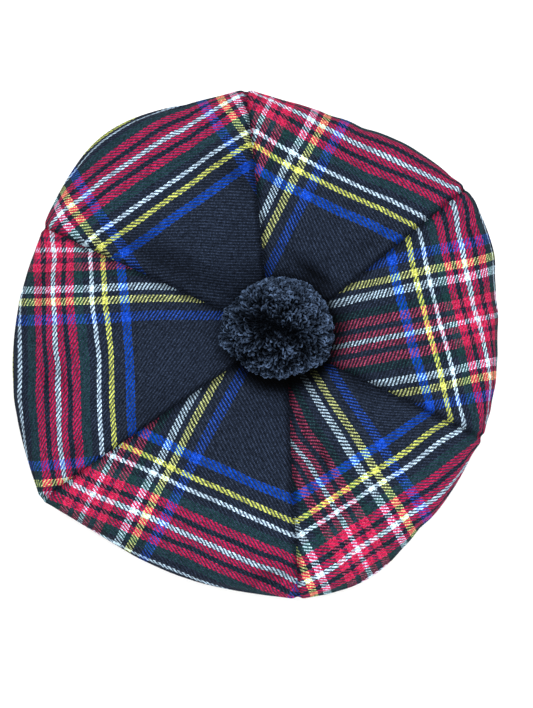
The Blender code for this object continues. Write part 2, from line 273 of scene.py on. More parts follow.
def fold_dip(flat, reach):
    """Sum of the folds: a bell across each run, fading to nothing at its two ends and at the rim."""
    dip = np.zeros(flat.shape[:-1])
    for fold in FOLDS:
        way = polar(fold.angle_deg, 1.0)
        across = (flat[..., 0] * way[1] - flat[..., 1] * way[0]) / (fold.width * MM)
        middle, half = (fold.reach_in + fold.reach_out) / 2, (fold.reach_out - fold.reach_in) / 2
        fade = np.maximum(0.0, 1.0 - ((reach - middle) / half) ** 2)
        ahead = flat @ way > 0
        dip += ahead * fold.depth * MM * fade * np.exp(-(across**2))
    return dip * (1.0 - rim_turn(reach))


def seam_shift(index, t, rim, reach):
    """Sideways shift of the top: each seam's own, mixed across the gore, fading to the rim and the tie."""
    first, second = GORES[index].seam_shift, GORES[(index + 1) % len(GORES)].seam_shift
    inner = np.clip(reach, 0.0, 1.0)
    size = (first + (second - first) * t) * MM * (1.0 - inner) * (1.0 - np.exp(-((inner / TIE_REACH) ** 2)))
    side = np.stack([-rim[..., 1], rim[..., 0]], axis=-1) / np.linalg.norm(rim, axis=-1, keepdims=True)
    return size[..., None] * side


def crown(index, t, along):
    """Outer surface of a gore, a point for each share along its section and each share across it.

    On the top a point is the rim's point times reach; underneath it is between the band's inner edge and
    the rim. Puff raises it, folds and seams lower it. Also gives each point's place in plan from the
    crown's middle.
    """
    reach, height, on_top = (part[:, None] for part in section(along))
    rim = outline(index, t)[None]
    top = rim * reach[..., None] + seam_shift(index, t, rim, reach)
    distance = np.linalg.norm(top, axis=-1)
    top_height = height + puff(index, t, reach) - fold_dip(top, reach)
    top_height = top_height - seam_dip(index, t, distance) * (1.0 - (1.0 + SEAM_LIFT) * rim_turn(reach))
    rim = rim - CROWN_SHIFT
    band = rim / np.linalg.norm(rim, axis=-1, keepdims=True) * (BAND_RADIUS - BAND_WALL)
    under = band + (rim - band) * reach[..., None]
    under_height = height + seam_dip(index, t, np.linalg.norm(under, axis=-1)) * reach * SEAM_LIFT
    flat = np.where(on_top[..., None], top - CROWN_SHIFT, under)
    height = np.where(on_top, top_height, under_height)
    return np.concatenate([flat, height[..., None]], axis=-1), flat + CROWN_SHIFT


# ---------------- the tartan's lie on each gore

# A cut is how the cloth lies on a gore, in mm of cloth. Grain is the way out along which the cut runs.
# Across counts from the white stripe down the gore, and along from the white stripe round the rim, both
# at the crown's middle. The gains are cloth per mm of surface, the leans turn one set of stripes, fan
# spreads the stripes down the gore and bow bends the stripes round the rim (mm at 50 mm off the middle).
# Drawn is how many mm of cloth fewer go round the turn of the rim than its surface is long.
Cut = namedtuple("Cut", "grain_deg across across_gain across_lean fan along along_gain along_lean bow drawn")
CUTS = (
    Cut(64.1, 57.5, 0.985, -0.04, -0.11, -109.5, 0.905, 0.01, -2.2, 0.5),
    Cut(124.2, 83.2, 1.005, -0.015, -0.025, -122.5, 0.95, -0.005, 0.5, -2.0),
    Cut(185.6, -59.5, 1.045, -0.055, -0.09, -117.5, 0.95, 0.02, -1.0, 3.5),
    Cut(245.9, -52.5, 0.97, -0.065, 0.0, -110.0, 0.885, 0.0, -0.5, 3.5),
    Cut(303.0, -24.5, 0.995, -0.025, -0.17, -111.0, 0.85, 0.025, -0.5, 0.0),
    Cut(11.3, -12.7, 0.955, 0.005, -0.08, -106.0, 0.895, -0.045, -1.0, -4.5),
)
CUT_ALONG = 100.0  # mm along at which the fan and the across lean change nothing
CUT_ASIDE = 50.0
TURN_TOP = 32.5 * MM  # the heights between which the cloth turns over the rim
TURN_FOOT = 22.0 * MM

# Where the cloth has slipped: a bell of this spread round a place on a gore, by these shifts, all in mm
# across and along the gore's grain from the crown's middle.
Slip = namedtuple("Slip", "gore across along spread shift_across shift_along")
SLIPS = (
    Slip(1, 12.0, 73.0, 22.0, 0.0, -2.2),
    Slip(1, 44.0, 108.0, 16.0, -2.5, -0.8),
    Slip(1, -32.0, 48.0, 15.0, 0.3, 1.8),
    Slip(2, -10.0, 108.0, 34.0, 0.0, 1.2),
    Slip(2, -64.0, 122.0, 12.0, 1.8, -2.2),
    Slip(2, -22.0, 52.0, 16.0, -1.4, -1.2),
    Slip(3, 36.0, 75.0, 24.0, -1.4, -1.0),
    Slip(3, -36.0, 78.0, 28.0, -0.6, -1.3),
    Slip(3, -55.0, 132.0, 24.0, 0.3, -2.1),
    Slip(3, -20.0, 138.0, 18.0, 0.0, -1.3),
    *(Slip(3, across, 166.0, 16.0, 0.0, -2.4) for across in (14.0, -6.0, -26.0, -46.0, -66.0)),
    Slip(4, 16.0, 74.0, 22.0, -1.2, -1.8),
    Slip(4, -22.0, 74.0, 16.0, 0.5, -2.2),
    Slip(4, 5.0, 126.0, 26.0, 0.6, 1.2),
    Slip(5, -46.0, 96.0, 15.0, 0.0, 2.4),
    Slip(5, -30.0, 60.0, 14.0, -0.4, -2.0),
    Slip(5, 22.0, 122.0, 38.0, 0.4, 1.2),
    Slip(5, 8.0, 74.0, 11.0, -0.5, -1.8),
    Slip(5, 22.0, 54.0, 12.0, -3.0, 0.0),
    Slip(6, -14.0, 114.0, 18.0, -1.0, 3.6),
    Slip(6, -15.0, 50.0, 12.0, 0.5, -2.6),
    Slip(6, 38.0, 72.0, 34.0, -1.3, -0.4),
)


def lengths(index, points, plan):
    """Cloth lengths from the crown's middle on a gore's grid: across its grain, as in plan, and along it.

    The length along is the sum of the steps down each column, each the root of its squared rise and its
    squared way along the grain, so it runs on over the rim and back under. Where the cloth turns over the
    rim it is drawn tight or lies full, which shifts it by what is drawn times a smooth step of the height.
    """
    out = polar(CUTS[index].grain_deg, 1.0)
    right = np.array([out[1], -out[0]])
    across, ahead = plan @ right, plan @ out
    steps = np.hypot(np.diff(ahead, axis=0), np.diff(points[..., 2], axis=0))
    along = np.concatenate([ahead[:1], ahead[:1] + np.cumsum(steps, axis=0)])
    turned = np.clip((TURN_TOP - points[..., 2]) / (TURN_TOP - TURN_FOOT), 0.0, 1.0)
    turned = np.maximum.accumulate(turned, axis=0)
    return across / MM, along / MM - CUTS[index].drawn * turned**2 * (3.0 - 2.0 * turned)


def cloth_place(index, across, along):
    """Place in the tartan, in mm, from the lengths across and along the grain, by the slips and the cut."""
    slipped = [0.0, 0.0]
    for slip in SLIPS:
        if slip.gore == index + 1:
            bell = np.exp(-((across - slip.across) ** 2 + (along - slip.along) ** 2) / slip.spread**2)
            slipped = [slipped[0] + slip.shift_across * bell, slipped[1] + slip.shift_along * bell]
    across, along = across + slipped[0], along + slipped[1]
    cut = CUTS[index]
    fanned = across * (cut.across_gain + cut.fan * (along / CUT_ALONG - 1.0))
    place_across = cut.across + fanned + cut.across_lean * (along - CUT_ALONG)
    leaned = cut.along + cut.along_gain * along + cut.along_lean * across
    return np.stack([place_across, leaned + cut.bow * (across / CUT_ASIDE) ** 2], axis=-1)


# ---------------- meshes from grids


def unit(vectors):
    return vectors / np.linalg.norm(vectors, axis=-1, keepdims=True)


def grid_faces(rows, columns, wrap_rows=False, wrap_columns=False):
    """Quads of a grid of points, row after row: from each point along, then across."""
    r = np.arange(rows if wrap_rows else rows - 1)[:, None]
    c = np.arange(columns if wrap_columns else columns - 1)[None]
    r_next, c_next = (r + 1) % rows, (c + 1) % columns
    corners = (r * columns + c, r_next * columns + c, r_next * columns + c_next, r * columns + c_next)
    return np.stack([corner.reshape(-1) for corner in corners], axis=-1)


def mesh_object(name, points, faces, finish, place=None, place_name="Cloth", values=None):
    """A smooth mesh from points and faces, with each point's place on a map and its named values."""
    mesh = bpy.data.meshes.new(name)
    mesh.from_pydata(points.reshape(-1, 3).tolist(), [], faces)
    mesh.shade_smooth()
    mesh.materials.append(finish)
    if place is not None:
        corners = np.empty(len(mesh.loops), dtype=np.int32)
        mesh.loops.foreach_get("vertex_index", corners)
        layer = mesh.uv_layers.new(name=place_name)
        layer.data.foreach_set("uv", place.reshape(-1, 2)[corners].astype(np.float32).ravel())
    for label, numbers in (values or {}).items():
        attribute = mesh.attributes.new(label, "FLOAT", "POINT")
        attribute.data.foreach_set("value", numbers.astype(np.float32).ravel())
    obj = bpy.data.objects.new(name, mesh)
    bpy.context.scene.collection.objects.link(obj)
    return obj


def wall(name, outer, inner, finish, place, values):
    """A closed wall of cloth between two grids, with its edge all round.

    Its values hold on the outer side, and are 0 on the inner side.
    """
    rows, columns = outer.shape[:2]
    faces = grid_faces(rows, columns)
    inside = rows * columns
    row, column = np.arange(rows), np.arange(columns)
    edge = np.concatenate([
        column[:-1],
        row[:-1] * columns + columns - 1,
        (rows - 1) * columns + column[:0:-1],
        row[:0:-1] * columns,
    ])
    following = np.roll(edge, -1)
    rim = np.stack([edge, following, following + inside, edge + inside], axis=-1)
    every = np.concatenate([faces, faces[:, ::-1] + inside, rim]).tolist()
    values = {label: np.stack([numbers, np.zeros_like(numbers)]) for label, numbers in values.items()}
    return mesh_object(name, np.stack([outer, inner]), every, finish, np.stack([place, place]), values=values)


def rings(name, points, finish, **extra):
    """Closed tubes: points holds, for each tube, its rings of points, capped flat at both ends."""
    tubes, count, sides = points.shape[:3]
    faces = grid_faces(count, sides, wrap_columns=True)[:, [0, 3, 2, 1]]
    start = (np.arange(tubes) * count * sides)[:, None, None]
    quads = (faces[None] + start).reshape(-1, 4).tolist()
    ring = np.arange(sides)
    first = (ring[::-1][None] + start[:, 0]).tolist()
    last = (ring[None] + (count - 1) * sides + start[:, 0]).tolist()
    return mesh_object(name, points, quads + first + last, finish, **extra)


def tube_points(paths, radii, side_ways, sides):
    """Rings round many paths at once.

    Each path is flat and bends in the plane square to its side way, so a ring is the path's point plus
    the radius times the cosine of the turn along (side way x tangent) and its sine along the side way.
    """
    tangents = unit(np.gradient(paths, axis=1))
    side = np.broadcast_to(side_ways[:, None], tangents.shape)
    lift = unit(np.cross(side, tangents))
    turn = 2 * np.pi * np.arange(sides) / sides
    ring = np.cos(turn)[:, None] * lift[:, :, None] + np.sin(turn)[:, None] * side[:, :, None]
    return paths[:, :, None] + radii[..., None, None] * ring


# ---------------- the crown


def normals(points):
    """Outward normals of a grid: its steps along it times its steps across, as a cross product."""
    return unit(np.cross(np.gradient(points, axis=0), np.gradient(points, axis=1)))


def crown_grids():
    """For each gore its points, places in plan, way its cloth is thick, and places by its seams.

    That way is the normal, turned near a seam towards the seam's own: the mean of both gores' normals
    there, so that neighbouring gores still meet once their cloth is rolled in and thickened.
    """
    t = crowded(FINE_COLUMNS, FINE_CROWDING)
    t = (1.0 + 2.0 * SEAM_LAP) * t - SEAM_LAP
    along = np.arange(FINE_ROWS + 1) / FINE_ROWS
    grids = [crown(index, t, along) for index in range(len(GORES))]
    ways = [normals(points) for points, _ in grids]
    seams = [unit(ways[index - 1][:, -1] + ways[index][:, 0]) for index in range(len(GORES))]
    made = []
    for index, (points, plan) in enumerate(grids):
        distance = np.linalg.norm(plan, axis=-1)
        arc = seam_span(index) * distance
        first = np.exp(-((t * arc / SEAM_BLEND) ** 2))[..., None]
        second = np.exp(-(((1.0 - t) * arc / SEAM_BLEND) ** 2))[..., None]
        way = ways[index] * (1.0 - first - second)
        way = unit(way + first * seams[index][:, None] + second * seams[(index + 1) % len(GORES)][:, None])
        made.append((points, plan, way, t, seam_distance(index, t, distance), distance))
    return made


def seam_roll(across, distance, depth):
    """How deep the cloth turns in at a seam: a narrow bell, fading in from the crown's middle."""
    return depth * np.minimum(1.0, distance / SEAM_EASE) * np.exp(-((across / ROLL_WIDTH) ** 2))


def seam_puckers(index, t, across, distance):
    """Small gathers along a seam, where its thread draws the cloth up: waves along it, fading across."""
    seam = np.where(t < 0.5, index, index + 1) % len(GORES)
    phase = PUCKER_STEP * seam
    waves = sum(np.sin(2 * np.pi * distance / pitch + phase + pitch / MM) for pitch in PUCKER_PITCHES)
    return PUCKER_DEPTH * waves / len(PUCKER_PITCHES) * np.exp(-((across / PUCKER_WIDTH) ** 2))


def long_bell(off, way_deg, length, width):
    """A bell stretched one way, from each point's place off its middle: a product of two bell curves."""
    way = polar(way_deg, 1.0)
    ahead, aside = off @ way, off[..., 0] * way[1] - off[..., 1] * way[0]
    return np.exp(-((ahead / length) ** 2) - (aside / width) ** 2)


def ripples(plan, across, random):
    """Small slack waves of the cloth: long bells, gone at the seams."""
    depth = np.zeros(across.shape)
    for _ in range(RIPPLES):
        angle, share = random.uniform(0.0, 360.0), random.uniform(RIPPLE_INNER, 1.0)
        off = plan - polar(angle, RIPPLE_REACH * math.sqrt(share))
        way_deg = random.uniform(0.0, 180.0)
        length, width = random.uniform(*RIPPLE_LENGTHS) * MM, random.uniform(*RIPPLE_WIDTHS) * MM
        size = random.choice((-1.0, 1.0)) * random.uniform(*RIPPLE_DEPTHS) * MM
        depth += size * long_bell(off, way_deg, length, width)
    return depth * (1.0 - np.exp(-((across / RIPPLE_EASE) ** 2)))


def creases(index, plan, across):
    """Depth and painted shade of a gore's creases: long bells, with no depth left at the seams."""
    depth, shade = np.zeros(across.shape), np.zeros(across.shape)
    for crease in CREASES:
        if crease.gore == index + 1:
            bell = long_bell(plan / MM - (crease.x, crease.y), crease.way_deg, crease.length, crease.width)
            depth += crease.depth * MM * bell
            shade = np.maximum(shade, crease.shade * bell)
    return depth * (1.0 - np.exp(-((across / CREASE_EASE) ** 2))), shade


def hollow(plan, across, distance, painted_crease_shade):
    """Painted shade of the cloth, from 0 to 1: a painted shadow under and round the toorie, painted shade in
    the seams and in creases.
    """
    from_toorie = np.linalg.norm(plan - TOORIE_SHIFT - PAINTED_SHADOW_SHIFT, axis=-1)
    under = 1.0 / (1.0 + np.exp((from_toorie - PAINTED_SHADOW_RADIUS) / PAINTED_SHADOW_EDGE))
    return 1.0 - (1.0 - under) * (1.0 - seam_roll(across, distance, SEAM_PAINTED_SHADE)) * (1.0 - painted_crease_shade)


def wander(plan, random):
    """Slow drift of the stripes, in mm of cloth: long sine waves over the gore, each with its own shift."""
    drift = np.zeros(plan.shape)
    for _ in range(WANDER_WAVES):
        way = polar(random.uniform(0.0, 360.0), 2 * np.pi / (random.uniform(*WANDER_LENGTHS) * MM))
        shift = polar(random.uniform(0.0, 360.0), WANDER)
        drift += np.sin(plan @ way + random.uniform(0.0, 2 * np.pi))[..., None] * shift
    return drift


def gores(finish):
    """The six gores, each a closed wall of cloth that carries its own cut of the tartan."""
    for index, (points, plan, way, t, across, distance) in enumerate(crown_grids()):
        random = np.random.default_rng(RIPPLE_SEED)
        inward = seam_roll(across, distance, ROLL_DEPTH) + seam_puckers(index, t, across, distance)
        crease_depth, crease_painted_shade = creases(index, plan, across)
        inward += ripples(plan, across, random) + crease_depth
        outer = points - inward[..., None] * way
        inner = outer - CLOTH * way
        place = cloth_place(index, *lengths(index, points, plan)) + wander(plan, random)
        name = GORES[index].name
        # The hollow values are the painted shade that darkens the tartan's colour.
        values = dict(hollow=hollow(plan, across, distance, crease_painted_shade))
        gore = wall(f"{name}_cloth", outer, inner, finish, place, values)
        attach(gore, "root")
        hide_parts(name)


# ---------------- the headband

BAND_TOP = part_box("headband")[1].z
BAND_ROUND = 480
BAND_SIDE_POINTS = 73
BAND_TURN_POINTS = 13
STITCH_LINES = (4.0 * MM, 24.0 * MM)
STITCH_PITCH = 3.2 * MM
STITCH_LENGTH = 2.3 * MM
STITCH_RADIUS = 0.22 * MM
STITCH_BOW = 2.2  # how far a stitch's ends lie below its middle, in its radii
STITCH_DENT = 0.35 * MM
STITCH_DENT_WIDTH = 0.9 * MM
STITCH_POINTS = 6
STITCH_SIDES = 6


def band_profile():
    """Closed section of the doubled band, as places out from the ring's middle line and up.

    A run of straight sides and half circles: a stadium as tall as the band, pinched by a small bell at
    each line of stitches.
    """
    half = BAND_WALL / 2
    turn = np.linspace(0.0, np.pi, BAND_TURN_POINTS)
    up = np.linspace(half, BAND_TOP - half, BAND_SIDE_POINTS)
    pinch = sum(np.exp(-(((up - line) / STITCH_DENT_WIDTH) ** 2)) for line in STITCH_LINES) * STITCH_DENT
    outer = np.stack([half - pinch, up], axis=-1)
    top = np.stack([half * np.cos(turn), BAND_TOP - half + half * np.sin(turn)], axis=-1)[1:-1]
    inner = np.stack([pinch - half, up], axis=-1)[::-1]
    bottom = np.stack([-half * np.cos(turn), half - half * np.sin(turn)], axis=-1)[1:-1]
    return np.concatenate([outer, top, inner, bottom])


def headband(finish, thread_finish):
    """The doubled ring of cloth that holds the head, with a line of stitches near each edge."""
    profile = band_profile()
    middle = BAND_RADIUS - BAND_WALL / 2
    turn = (2 * np.pi * np.arange(BAND_ROUND + 1) / BAND_ROUND)[:, None]
    reach = middle + profile[None, :, 0]
    height = np.broadcast_to(profile[None, :, 1], (BAND_ROUND + 1, len(profile)))
    points = np.stack([reach * np.cos(turn), reach * np.sin(turn), height], axis=-1)
    run = np.concatenate([[0.0], np.cumsum(np.linalg.norm(np.diff(profile, axis=0), axis=-1))])
    place = np.stack(np.broadcast_arrays(turn * middle / MM, run[None] / MM), axis=-1)
    faces = grid_faces(BAND_ROUND, len(profile), wrap_rows=True, wrap_columns=True)
    band = mesh_object("headband_cloth", points[:-1], faces[:, ::-1].tolist(), finish, place[:-1])
    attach(band, "root")
    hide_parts("headband")
    stitches(thread_finish, middle)


def stitches(finish, middle):
    """Two rounds of short stitches on the band's outside: bowed tubes, sunk into the cloth at both ends."""
    count = round(2 * np.pi * BAND_RADIUS / STITCH_PITCH)
    start = 2 * np.pi * np.arange(count) / count
    s = np.linspace(-0.5, 0.5, STITCH_POINTS)
    turn = start[:, None] + s * STITCH_LENGTH / BAND_RADIUS
    bow = BAND_WALL / 2 - STITCH_DENT + STITCH_RADIUS * (1.0 - (2 * s) ** 2 * STITCH_BOW)
    reach = middle + np.broadcast_to(bow, turn.shape)
    lines = [
        np.stack([reach * np.cos(turn), reach * np.sin(turn), np.full_like(turn, line)], axis=-1)
        for line in STITCH_LINES
    ]
    paths = np.concatenate(lines)
    upright = np.tile([0.0, 0.0, 1.0], (len(paths), 1))
    points = tube_points(paths, np.full(paths.shape[:2], STITCH_RADIUS), upright, STITCH_SIDES)
    made = rings("headband_stitches", points, finish)
    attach(made, "root")


# ---------------- the toorie

TOORIE_RADIUS = 29.5 * MM
TOORIE_SQUASH = 0.76
TOORIE_SHIFT = np.array([2.6, 3.4]) * MM
TOORIE_SINK = 3.0 * MM
TOORIE_GAP = 0.1 * MM
TOORIE_LOW = TOORIE_SINK - TOORIE_RADIUS * TOORIE_SQUASH
TOORIE_PLACE = np.array([*(TOORIE_SHIFT - CROWN_SHIFT), SECTION[1].height * MM + TOORIE_GAP - TOORIE_LOW])

# The toorie's masses are the same as in the solids. The yarn's own partings are narrower and deeper.
Lobe = namedtuple("Lobe", "azimuth_deg lift_deg swell spread_deg")
LOBES = (
    Lobe(95.0, 15.0, -0.04, 60.0),
    Lobe(187.0, 0.0, 0.15, 26.0),
    Lobe(250.0, 0.0, -0.04, 28.0),
    Lobe(290.0, 0.0, -0.08, 26.0),
    Lobe(338.0, 0.0, 0.07, 28.0),
)
Parting = namedtuple("Parting", "azimuth_deg depth width_deg end_deg")
PARTINGS = (
    Parting(160.0, 0.52, 9.0, 64.0),
    Parting(335.0, 0.52, 8.5, 58.0),
    Parting(205.0, 0.24, 5.0, 52.0),
)
DEEPEST = 0.52

ENDS = 5600
END_RADIUS = 0.46 * MM
END_SIZES = (0.8, 1.15)  # the thinnest and the thickest end, as shares of that radius
END_SWELL = (0.5, 0.85, 1.0, 1.05, 1.05, 1.0, 0.65)  # share of the radius at each of an end's rings
END_SPACING = 0.75  # a power under 1 draws those rings towards the tip
END_SIDES = 5
END_ROOT = 0.45  # where an end starts, as a share of the way out to its tip
END_ARCH_DEG = 108.0  # past 90 the tip dips again
END_JITTER = 0.016
END_CURLS = (1.4, 3.8)  # the least and the most curl, in mm
END_STRAY = 1.1  # how much of an end's way is its own, against 1 of its clump's
END_FALL = 0.11  # share of the toorie's radius by which the ends differ in height
END_SEED = 7
PARTED_CURL = 0.7  # share of its curl that an end loses in a parting
CLUMPS = 170
CLUMP_ANGLE = 0.15
CLUMP_EDGE = 1.4  # the most that an end's squared share of that angle counts
CLUMP_JITTER = 0.05
CLUMP_HEIGHTS = (-0.05, 0.045)  # shares of the toorie's radius, as is the fall to a clump's edge
CLUMP_FALL = 0.05
COMBED_LIT_SIDE_DEG = 60.0  # the side on which the ends lie closer and more even, and which is painted lighter
COMBED_EVEN = 0.4
PAINTED_SIDE_LIGHT = 0.1
UNEVEN = 0.85  # share of the differences in height, half way round from the combed side
# Painted light and shade of the yarn ends, which darken or lighten each end's colour:
LOW_LIGHT = 0.3  # light of the lowest ends, against 1 of the highest
EDGE_LIGHT = 0.45  # light that an end loses at its clump's edge
PARTED_LIGHT = 1.2  # light that it loses in a parting
SIDE_LIGHT = 0.75  # light round the ball's widest ring
RISE_LIGHT = 1.5  # light gained from there upwards, or lost downwards
UNDER_LIGHT = 0.25  # the least light of the underside
DEEP_LIGHT = 0.08  # share of the radius in which an end darkens, from the surface down
CORE_SHARE = 0.72
CORE_POLE_DEG = 86.0
CORE_RINGS = 60
CORE_SIDES = 96


def partings(directions):
    """How far a direction lies in each parting, from 0 to 1: a bell across it, fading down the side."""
    slant = np.arccos(np.clip(directions[:, 2], -1.0, 1.0))
    bells = []
    for parting in PARTINGS:
        way = polar(parting.azimuth_deg, 1.0)
        cross = np.abs(directions[:, 0] * way[1] - directions[:, 1] * way[0])
        across = np.where(directions[:, :2] @ way > 0, np.arcsin(np.clip(cross, 0.0, 1.0)), slant)
        fade = np.maximum(0.0, 1.0 - (slant / math.radians(parting.end_deg)) ** 2)
        bells.append(fade * np.exp(-((across / math.radians(parting.width_deg)) ** 2)))
    return np.array(bells)


def yarn_reach(directions):
    """Share of the toorie's radius that the yarn reaches in each direction: lobes less partings."""
    reach = np.ones(len(directions))
    for lobe in LOBES:
        lift = math.radians(lobe.lift_deg)
        aim = np.array([*polar(lobe.azimuth_deg, math.cos(lift)), math.sin(lift)])
        angle = np.arccos(np.clip(directions @ aim, -1.0, 1.0))
        reach += lobe.swell * np.exp(-((angle / math.radians(lobe.spread_deg)) ** 2))
    depths = np.array([parting.depth for parting in PARTINGS])
    return reach - np.minimum(depths @ partings(directions), DEEPEST)


def ball_directions(count):
    """Directions spread evenly over a ball by the golden angle."""
    i = np.arange(count)
    z = 1.0 - 2.0 * (i + 0.5) / count
    ring, turn = np.sqrt(1.0 - z * z), i * np.pi * (3.0 - math.sqrt(5.0))
    return np.stack([ring * np.cos(turn), ring * np.sin(turn), z], axis=-1)


def settle(points, least):
    """Squashes the ball, presses its base flat, and puts it in its place on the crown."""
    squashed = points * np.array([1.0, 1.0, TOORIE_SQUASH])
    squashed[..., 2] = np.maximum(squashed[..., 2], TOORIE_LOW + least)
    return squashed + TOORIE_PLACE


def clumped(directions, random):
    """Height and way that each end shares with its clump, and how near the clump's edge it stands."""
    middles = unit(ball_directions(CLUMPS) + random.normal(0.0, CLUMP_JITTER, (CLUMPS, 3)))
    clump = np.argmax(directions @ middles.T, axis=1)
    from_middle = np.arccos(np.clip((directions * middles[clump]).sum(axis=1), -1.0, 1.0)) / CLUMP_ANGLE
    edge = np.minimum(from_middle**2, CLUMP_EDGE)
    height = random.uniform(*CLUMP_HEIGHTS, CLUMPS)[clump] - CLUMP_FALL * edge
    return height, unit(random.normal(0.0, 1.0, (CLUMPS, 3)))[clump], edge


def painted_end_light(directions, height, edge, parted, combed_lit_side):
    """Painted light and shade of each end: darker when it is low, at its clump's edge, in a parting or on the
    underside, lighter towards the top and on one side.
    """
    light = (LOW_LIGHT + (1.0 - LOW_LIGHT) * height) * (1.0 - EDGE_LIGHT * edge)
    light *= np.maximum(0.0, 1.0 - PARTED_LIGHT * np.sqrt(parted))
    side = np.clip(SIDE_LIGHT + RISE_LIGHT * directions[:, 2], UNDER_LIGHT, 1.0)
    return light * (side * (1.0 + PAINTED_SIDE_LIGHT * combed_lit_side))


def yarn_ends(finish):
    """The cut ends of the yarn, in an upper and a lower piece, each end from inside the ball to its surface.

    With s from 0 at the root to 1 at the tip, an end's distance out is root + (tip - root) sin(arch s), and
    it moves sideways by its curl times s to the third. Ends of one clump share a height and a way. An end is
    painted lighter near the ball's surface, and painted dark deeper down and in the partings, as painted
    shade. Towards one side the ends are more even in height, and that side is painted lighter.
    """
    random = np.random.default_rng(END_SEED)
    directions = unit(ball_directions(ENDS) + random.normal(0.0, END_JITTER, (ENDS, 3)))
    clump_height, clump_way, edge = clumped(directions, random)
    parted = partings(directions).max(axis=0)
    combed_lit_side = directions[:, :2] @ polar(COMBED_LIT_SIDE_DEG, 1.0)
    height = random.uniform(0.0, 1.0, ENDS)
    uneven = (clump_height - END_FALL * (1.0 - height)) * (UNEVEN - COMBED_EVEN * combed_lit_side)
    tip = TOORIE_RADIUS * (yarn_reach(directions) + uneven)
    aside = unit(np.cross(directions, unit(clump_way + random.normal(0.0, END_STRAY, (ENDS, 3)))))
    curl = random.uniform(*END_CURLS, ENDS) * MM * (1.0 - PARTED_CURL * parted)
    s = np.linspace(0.0, 1.0, len(END_SWELL)) ** END_SPACING
    out = tip[:, None] * (END_ROOT + (1.0 - END_ROOT) * np.sin(math.radians(END_ARCH_DEG) * s))
    paths = directions[:, None] * out[..., None] + aside[:, None] * (curl[:, None] * s**3)[..., None]
    paths = settle(paths, END_RADIUS)
    plane = unit(np.cross(directions, aside) / np.array([1.0, 1.0, TOORIE_SQUASH]))
    radii = END_RADIUS * np.array(END_SWELL) * random.uniform(*END_SIZES, (ENDS, 1))
    points = tube_points(paths, radii, plane, END_SIDES)
    length = np.linalg.norm(np.diff(paths, axis=1), axis=-1).cumsum(axis=1)
    length = np.concatenate([np.zeros((ENDS, 1)), length], axis=1) / MM
    around = np.arange(END_SIDES) / END_SIDES
    place = np.stack(np.broadcast_arrays(around, length[..., None]), axis=-1)
    shade = np.broadcast_to(random.uniform(0.0, 1.0, ENDS)[:, None, None], points.shape[:3])
    light = painted_end_light(directions, height, edge, parted, combed_lit_side)
    # Painted shade: an end darkens from the ball's surface down.
    deep = 1.0 - out / (TOORIE_RADIUS * yarn_reach(directions))[:, None]
    painted_shading = light[:, None] * np.exp(-((np.maximum(deep, 0.0) / DEEP_LIGHT) ** 2))
    painted_shading = np.broadcast_to(painted_shading[..., None], points.shape[:3])
    for name, half in (("upper", directions[:, 2] >= 0.0), ("lower", directions[:, 2] < 0.0)):
        values = dict(shade=shade[half], painted_shading=painted_shading[half])
        extra = dict(place=place[half], place_name="Yarn", values=values)
        toorie_piece(rings(f"toorie_yarn_{name}", points[half], finish, **extra))


def toorie_piece(piece):
    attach(piece, "root")
    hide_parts("toorie")


def yarn_core(finish):
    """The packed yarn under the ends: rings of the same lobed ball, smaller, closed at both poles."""
    lift = np.radians(np.linspace(-CORE_POLE_DEG, CORE_POLE_DEG, CORE_RINGS))[:, None]
    turn = (2 * np.pi * np.arange(CORE_SIDES) / CORE_SIDES)[None]
    parts = np.broadcast_arrays(np.cos(lift) * np.cos(turn), np.cos(lift) * np.sin(turn), np.sin(lift))
    directions = np.stack(parts, axis=-1)
    reach = yarn_reach(directions.reshape(-1, 3)).reshape(directions.shape[:2])
    points = settle(directions * (TOORIE_RADIUS * reach * CORE_SHARE)[..., None], 0.0)
    toorie_piece(rings("toorie_core", points[None], finish))


# ---------------- materials

THREAD_ACROSS = 0.706  # mm from one thread to the next that runs down the gore
THREAD_ALONG = 0.48  # mm from one thread to the next that runs round the rim

# The sett, from the pivot of the white stripe to the middle of the black ground: each colour with its
# threads along the grain and across it. It is read out, back and out again.
Stripe = namedtuple("Stripe", "colour threads_along threads_across")
SETT = (
    Stripe("white", 3, 2),
    Stripe("red", 7, 5),
    Stripe("black", 6, 4),
    Stripe("red", 11, 7),
    Stripe("green", 10, 6),
    Stripe("black", 8, 6),
    Stripe("white", 6, 6),
    Stripe("black", 9, 4),
    Stripe("yellow", 6, 6),
    Stripe("black", 12, 7),
    Stripe("blue", 11, 8),
    Stripe("black", 80, 54),
)
ROUND_DYES = {
    "white": (0.60, 0.80, 0.93),
    "black": (0.006, 0.009, 0.016),
    "red": (0.52, 0.008, 0.056),
    "blue": (0.002, 0.040, 0.38),
    "yellow": (0.62, 0.66, 0.10),
    "green": (0.007, 0.029, 0.030),
}
# The threads that run down the gore lie a little deeper: their copies of the dyes are darker, with painted
# shade, and greyer, with painted sheen.
DOWN_DYES_PAINTED_SHADE_AND_SHEEN = {
    "white": (0.50, 0.68, 0.80),
    "black": (0.019, 0.028, 0.052),
    "red": (0.33, 0.038, 0.085),
    "blue": (0.016, 0.060, 0.36),
    "yellow": (0.60, 0.64, 0.21),
    "green": (0.012, 0.036, 0.042),
}
# The yarn's colour runs from YARN_DARK to YARN_LIGHT by each end's own shade and fluff, times its painted
# light and shade.
YARN_DARK = (0.002, 0.003, 0.005, 1.0)
YARN_LIGHT = (0.12, 0.186, 0.322, 1.0)
# The core's colour is near black: painted deep shade inside the ball.
CORE_PAINTED_SHADE_COLOUR = (0.003, 0.004, 0.007)
STITCH_COLOUR = (0.02, 0.026, 0.04)

